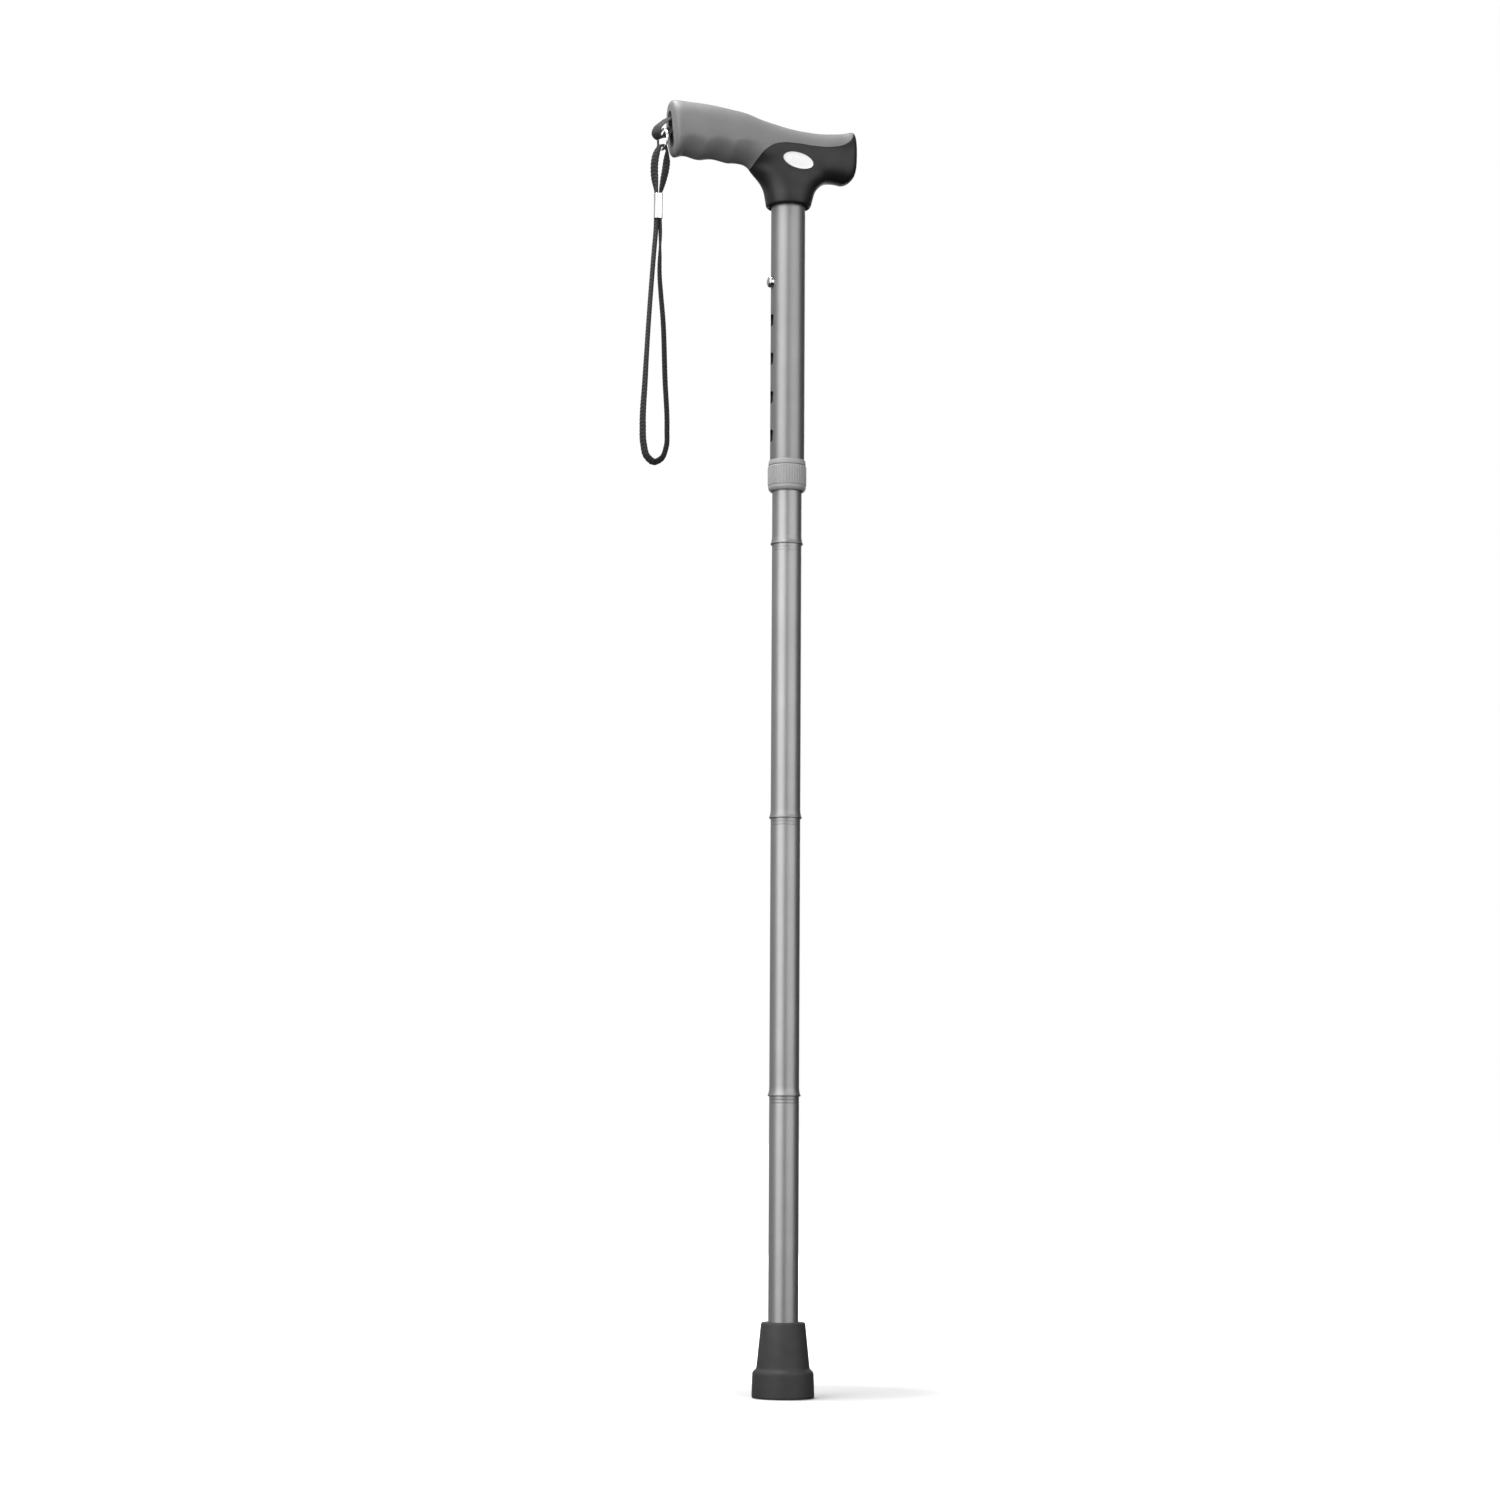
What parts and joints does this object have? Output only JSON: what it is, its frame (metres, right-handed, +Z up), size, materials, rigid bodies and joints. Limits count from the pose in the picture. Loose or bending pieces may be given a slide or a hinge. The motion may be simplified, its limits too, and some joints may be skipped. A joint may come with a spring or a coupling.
{
  "type": "folding walking cane",
  "caption": "Folding walking cane: T-shaped soft handle, telescoping four-section aluminium shaft with snap button and lock nut, rubber tip, wrist strap.",
  "frame": {"origin": "centre of the rubber tip's tread, on the floor", "axes": "+Z up along the shaft, +X towards the handle's short beak end, -X towards the palm end, the snap button and the wrist strap"},
  "size_m": [0.1418, 0.0394, 0.8286],
  "materials": {
    "shaft_aluminium": "satin grey anodised",
    "bare_aluminium": "bare drawn tube",
    "steel": "plated",
    "chrome": "polished",
    "black_rubber": "matt moulded rubber",
    "black_plastic": "satin moulded",
    "grey_plastic": "satin moulded",
    "soft_grey_grip": "soft-touch overmould",
    "white_plastic": "blank gloss badge",
    "black_fabric": "flat braid",
    "elastic_cord": "braided cover over rubber strands"
  },
  "bodies": {
    "lower_section": {"rubber_tip": "black_rubber", "tip_washer": "steel", "lower_tube": "shaft_aluminium", "lower_joint_insert": "bare_aluminium", "cord_bottom_anchor": "black_plastic", "cord_bottom_knot": "elastic_cord", "elastic_cord_lower": "elastic_cord"},
    "lower_middle_section": {"lower_middle_tube": "shaft_aluminium", "middle_joint_insert": "bare_aluminium", "elastic_cord_lower_middle": "elastic_cord"},
    "upper_middle_section": {"upper_middle_tube": "shaft_aluminium", "upper_joint_insert": "bare_aluminium", "elastic_cord_upper_middle": "elastic_cord"},
    "height_section": {"height_tube": "shaft_aluminium", "height_tube_guide_bush": "black_plastic", "elastic_cord_top": "elastic_cord", "cord_top_anchor": "black_plastic", "cord_top_knot": "elastic_cord", "button_spring": "steel"},
    "button": {"snap_button": "steel"},
    "handle_section": {"handle_tube": "shaft_aluminium", "collet_sleeve": "grey_plastic", "handle_core": "black_plastic", "handle_grip": "soft_grey_grip", "badge": "white_plastic", "handle_screw": "steel", "strap_anchor_pin": "steel", "strap_tab": "black_fabric"},
    "clamp": {"compression_ring": "black_plastic"},
    "nut": {"lock_nut": "grey_plastic"},
    "ring": {"split_ring": "chrome"},
    "strap": {"strap_cord": "black_fabric", "strap_ferrule": "chrome"}
  },
  "joints": [
    {"name": "lower_joint_pull", "type": "slide", "parent": "lower_section", "child": "lower_middle_section", "axis": [0, 0, 1], "range_m": [0, 0.05], "stiffness_N_per_m": 250, "springref_m": -0.1},
    {"name": "middle_joint_pull", "type": "slide", "parent": "lower_middle_section", "child": "upper_middle_section", "axis": [0, 0, 1], "range_m": [0, 0.05], "stiffness_N_per_m": 250, "springref_m": -0.1},
    {"name": "upper_joint_pull", "type": "slide", "parent": "upper_middle_section", "child": "height_section", "axis": [0, 0, 1], "range_m": [0, 0.05], "stiffness_N_per_m": 250, "springref_m": -0.1},
    {"name": "button_press", "type": "slide", "parent": "height_section", "child": "button", "axis": [1, 0, 0], "range_m": [0, 0.0045], "stiffness_N_per_m": 1200, "springref_m": -0.003, "deforming": ["button_spring"]},
    {"name": "height_adjust", "type": "slide", "parent": "height_section", "child": "handle_section", "axis": [0, 0, 1], "range_m": [0, 0.1016], "deforming": ["snap_button"]},
    {"name": "nut_advance", "type": "slide", "parent": "handle_section", "child": "clamp", "axis": [0, 0, -1], "range_m": [0, 0.003]},
    {"name": "nut_turn", "type": "hinge", "parent": "clamp", "child": "nut", "pos_m": [0, 0, 0.585], "axis": [0, 0, -1], "range_deg": [0, 724]},
    {"name": "ring_swing", "type": "hinge", "parent": "handle_section", "child": "ring", "pos_m": [-0.0852, 0, 0.8097], "axis": [-0.225, 0.9744, 0], "range_deg": [-4, 50]},
    {"name": "strap_swing", "type": "hinge", "parent": "ring", "child": "strap", "pos_m": [-0.0852, 0, 0.7965], "axis": [-0.225, 0.9744, 0], "range_deg": [-4, 60]}
  ],
  "couplings": [
    {"joint": "nut_turn", "follows": "nut_advance", "rad_per_m": 4188.8}
  ]
}
